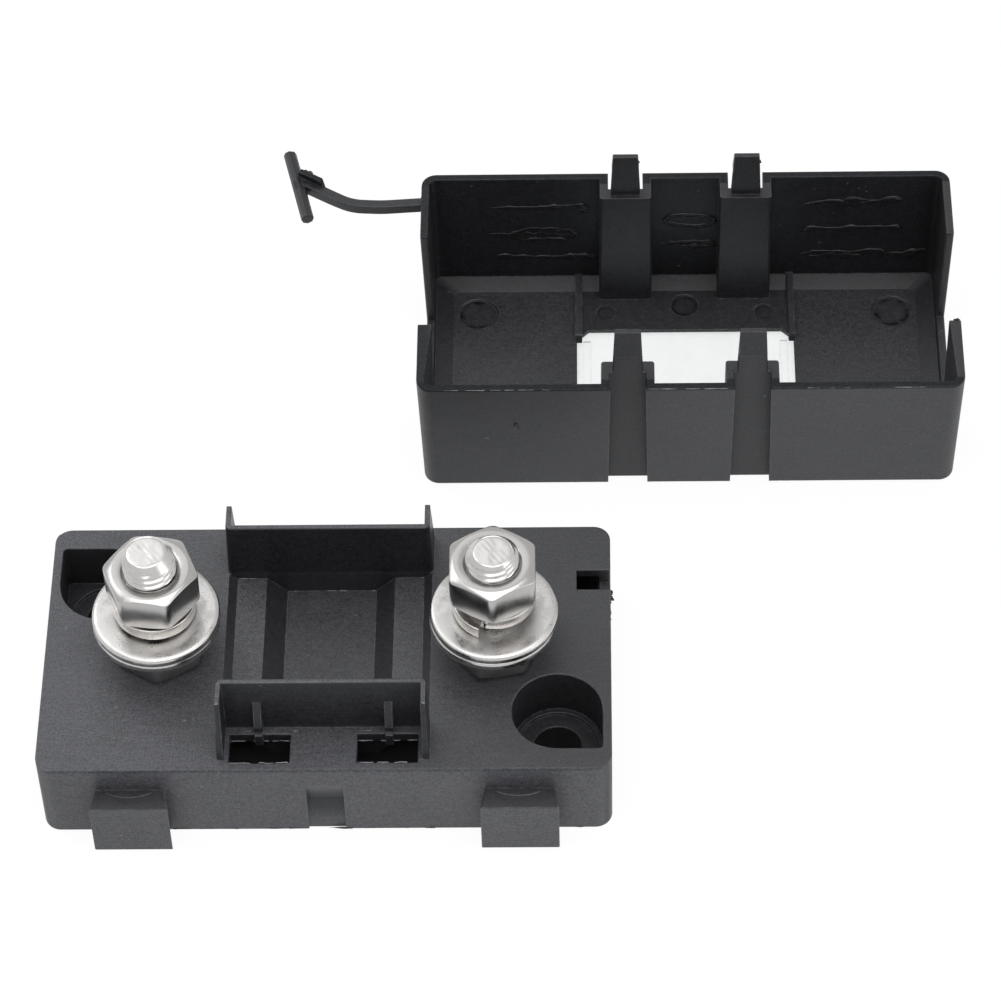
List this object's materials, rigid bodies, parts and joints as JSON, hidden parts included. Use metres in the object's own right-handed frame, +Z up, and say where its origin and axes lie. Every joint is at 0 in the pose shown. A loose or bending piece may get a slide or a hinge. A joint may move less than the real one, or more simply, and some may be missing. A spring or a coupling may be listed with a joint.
{
  "type": "fuse holder",
  "caption": "Bolt-down blade fuse holder: moulded base with two threaded studs, washers and clamp nuts, and a lifted-off snap cover with a clear window and a tether strap.",
  "frame": {"origin": "centre of the base's underside, midway between the two studs and on the centre of the circle through the two screw holes", "axes": "+Z up along the studs, +X from the left stud to the right stud, +Y from the base's tab side towards its plain side"},
  "size_m": [0.1421, 0.1227, 0.0386],
  "materials": {
    "base_plastic": "fine-grained charcoal moulding",
    "cover_plastic": "satin charcoal moulding",
    "clear_plastic": "clear moulded pane",
    "stud_steel": "rolled thread, cut end",
    "nut_steel": "plain stainless, polished flats",
    "washer_steel": "tumbled stainless",
    "spring_steel": "plain stainless"
  },
  "bodies": {
    "holder": {"base": "base_plastic", "cover": "cover_plastic", "window_pane": "clear_plastic", "stud_left": "stud_steel", "stud_right": "stud_steel", "seat_nut_left": "nut_steel", "seat_nut_right": "nut_steel", "lower_washer_left": "washer_steel", "lower_washer_right": "washer_steel"},
    "left_clamp": {"upper_washer_left": "washer_steel", "spring_washer_left": "spring_steel"},
    "right_clamp": {"upper_washer_right": "washer_steel", "spring_washer_right": "spring_steel"},
    "left_nut": {"clamp_nut_left": "nut_steel"},
    "right_nut": {"clamp_nut_right": "nut_steel"}
  },
  "joints": [
    {"name": "left_clamp_lift", "type": "slide", "parent": "holder", "child": "left_clamp", "axis": [0, 0, 1], "range_m": [0, 0.0075]},
    {"name": "left_nut_turn", "type": "hinge", "parent": "left_clamp", "child": "left_nut", "pos_m": [-0.0255, 0, 0.0283], "axis": [0, 0, 1], "range_deg": [0, 2160]},
    {"name": "right_clamp_lift", "type": "slide", "parent": "holder", "child": "right_clamp", "axis": [0, 0, 1], "range_m": [0, 0.0075]},
    {"name": "right_nut_turn", "type": "hinge", "parent": "right_clamp", "child": "right_nut", "pos_m": [0.0255, 0, 0.0297], "axis": [0, 0, 1], "range_deg": [0, 2160]}
  ],
  "couplings": [
    {"joint": "left_nut_turn", "follows": "left_clamp_lift", "rad_per_m": 5026.5},
    {"joint": "right_nut_turn", "follows": "right_clamp_lift", "rad_per_m": 5026.5}
  ]
}
